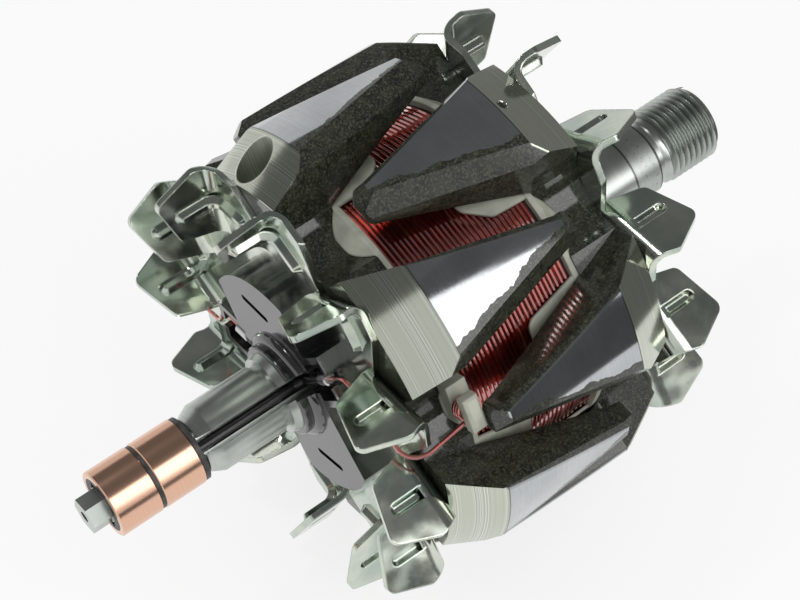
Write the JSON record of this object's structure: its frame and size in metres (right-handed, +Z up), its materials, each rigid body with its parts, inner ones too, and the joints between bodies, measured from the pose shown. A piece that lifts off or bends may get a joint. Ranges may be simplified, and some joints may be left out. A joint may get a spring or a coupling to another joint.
{
  "type": "alternator rotor",
  "caption": "Claw-pole rotor of a vehicle alternator: shaft with two interlocking claw poles round a field coil, a folded cooling fan at each end and a pair of slip rings.",
  "frame": {"origin": "on the shaft's axis, at the middle of the drive-end bearing seat", "axes": "+X along the shaft towards the pulley thread, slip rings at -X, +Z up as the rotor lies on two neighbouring claws"},
  "size_m": [0.1567, 0.0986, 0.0986],
  "materials": {
    "turned_steel": "turned and ground, lightly scored",
    "pole_steel": "machined faces, dark varnish in the gaps",
    "zinc_plated_sheet": "yellowed zinc plating",
    "slip_ring_copper": "turned copper",
    "enamelled_wire": "red enamelled copper wire, glossy",
    "bobbin_nylon": "cream nylon",
    "black_moulding": "glossy black moulding",
    "grey_moulding": "grey moulding compound",
    "lead_sleeve": "black sleeve",
    "tinned_crimp": "tinned"
  },
  "bodies": {
    "root": {"shaft": "turned_steel", "slip_ring_core": "grey_moulding", "outer_slip_ring": "slip_ring_copper", "inner_slip_ring": "slip_ring_copper", "rear_claw_pole": "pole_steel", "front_claw_pole": "pole_steel", "rear_fan": "zinc_plated_sheet", "front_fan": "zinc_plated_sheet", "coil_bobbin": "bobbin_nylon", "field_coil": "enamelled_wire", "lead_guide": "black_moulding", "ring_lead_one": "lead_sleeve", "ring_lead_two": "lead_sleeve", "terminal_one": "tinned_crimp", "terminal_two": "tinned_crimp", "coil_lead_one": "enamelled_wire", "coil_lead_two": "enamelled_wire"}
  },
  "joints": []
}
